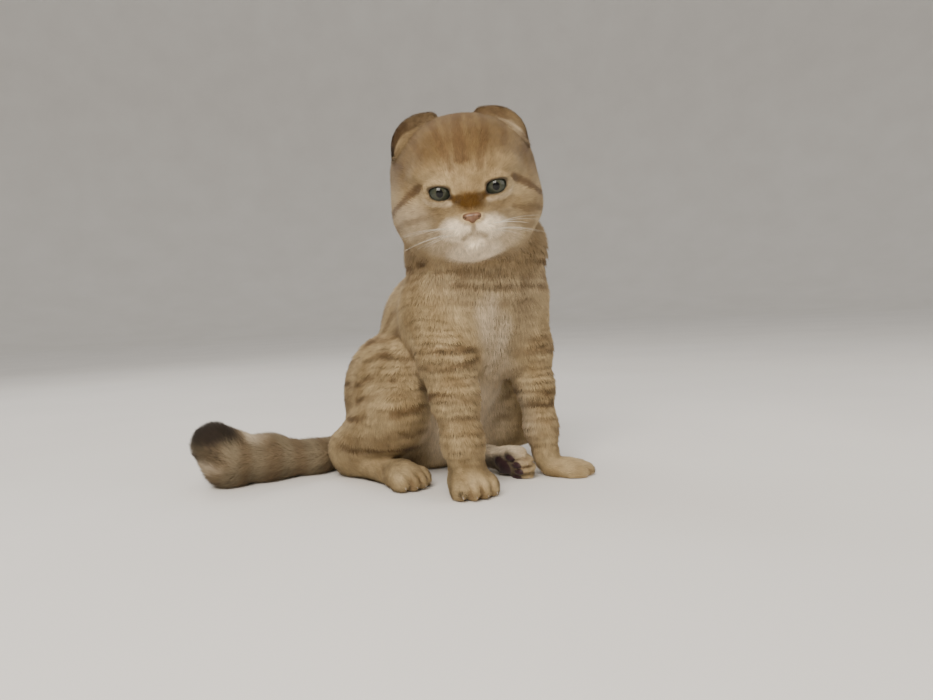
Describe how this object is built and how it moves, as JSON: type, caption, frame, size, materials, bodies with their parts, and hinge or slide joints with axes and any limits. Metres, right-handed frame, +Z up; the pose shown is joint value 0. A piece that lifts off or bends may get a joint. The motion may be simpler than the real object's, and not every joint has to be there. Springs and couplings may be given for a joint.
{
  "type": "scottish fold cat",
  "caption": "Life-size still model of a sitting Scottish fold cat with folded ears, a golden striped coat, its head turned and its tail laid to one side.",
  "frame": {"origin": "middle of the model's outline on the floor, under the cat", "axes": "+Z up; the chest faces -Y and the cat's left side is +X"},
  "size_m": [0.322, 0.2838, 0.3279],
  "materials": {
    "coat": "short dense golden fur, striped brown, cream on muzzle and chest",
    "coat_dark": "short dense dark brown fur",
    "eye": "wet gloss",
    "nose_leather": "fine pebbled, slightly moist",
    "claw": "smooth horn"
  },
  "bodies": {
    "root": {"head": "coat", "neck": "coat", "trunk": "coat", "front_leg_right": "coat", "front_leg_left": "coat", "front_paw_right": "coat", "front_paw_left": "coat", "hind_leg_right": "coat", "hind_leg_left": "coat", "hind_foot_right": "coat", "hind_foot_left": "coat", "hind_paw_right": "coat", "hind_paw_left": "coat", "ear_right": "coat_dark", "ear_left": "coat_dark", "tail_base": "coat_dark", "tail_middle": "coat_dark", "tail_tip": "coat_dark", "eye_right": "eye", "eye_left": "eye", "nose": "nose_leather", "front_claw_right_1": "claw", "front_claw_right_2": "claw", "front_claw_right_3": "claw", "front_claw_right_4": "claw", "front_claw_left_1": "claw", "front_claw_left_2": "claw", "front_claw_left_3": "claw", "front_claw_left_4": "claw", "hind_claw_right_1": "claw", "hind_claw_right_2": "claw", "hind_claw_right_3": "claw", "hind_claw_right_4": "claw", "hind_claw_left_1": "claw", "hind_claw_left_2": "claw", "hind_claw_left_3": "claw", "hind_claw_left_4": "claw"}
  },
  "joints": []
}
